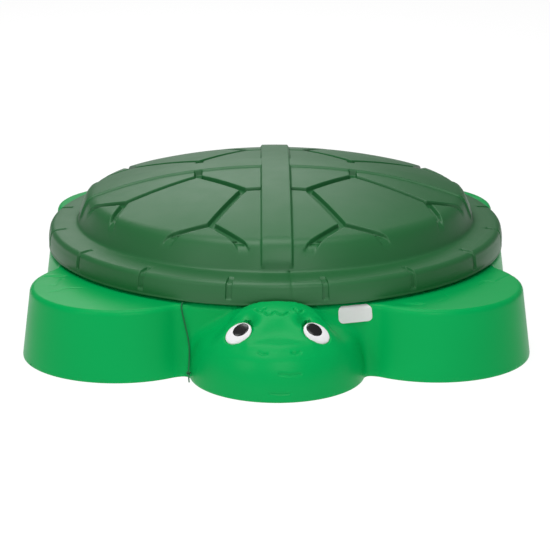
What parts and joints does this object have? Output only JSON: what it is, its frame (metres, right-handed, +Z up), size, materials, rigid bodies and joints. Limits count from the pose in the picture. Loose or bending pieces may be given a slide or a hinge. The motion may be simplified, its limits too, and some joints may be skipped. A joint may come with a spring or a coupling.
{
  "type": "sandbox with cover",
  "caption": "Turtle-shaped children's sandbox: a round hollow plastic tub with flat-topped feet and a head, closed by a domed lift-off cover.",
  "frame": {"origin": "on the floor, below the middle of the whole object's box", "axes": "+Z up; the turtle's head points along -Y and its tail along +Y; +X to the right of someone who looks at the head from the front"},
  "size_m": [0.9794, 1.0979, 0.305],
  "materials": {
    "tub_plastic": "satin moulded polyethylene, bright green",
    "lid_plastic": "satin moulded polyethylene, dark green",
    "eye_white": "gloss white plastic",
    "pupil": "gloss black plastic",
    "label": "plain pale grey film",
    "cord": "braided synthetic cord, dark green"
  },
  "bodies": {
    "tub": {"tub": "tub_plastic", "eye_white_left": "eye_white", "eye_white_right": "eye_white", "pupil_left": "pupil", "pupil_right": "pupil", "label": "label"},
    "cover": {"lid": "lid_plastic", "cord": "cord", "cord_knot": "cord"}
  },
  "joints": [
    {"name": "lid_lift", "type": "slide", "parent": "tub", "child": "cover", "axis": [0, 0, 1], "range_m": [0, 0.35]}
  ]
}
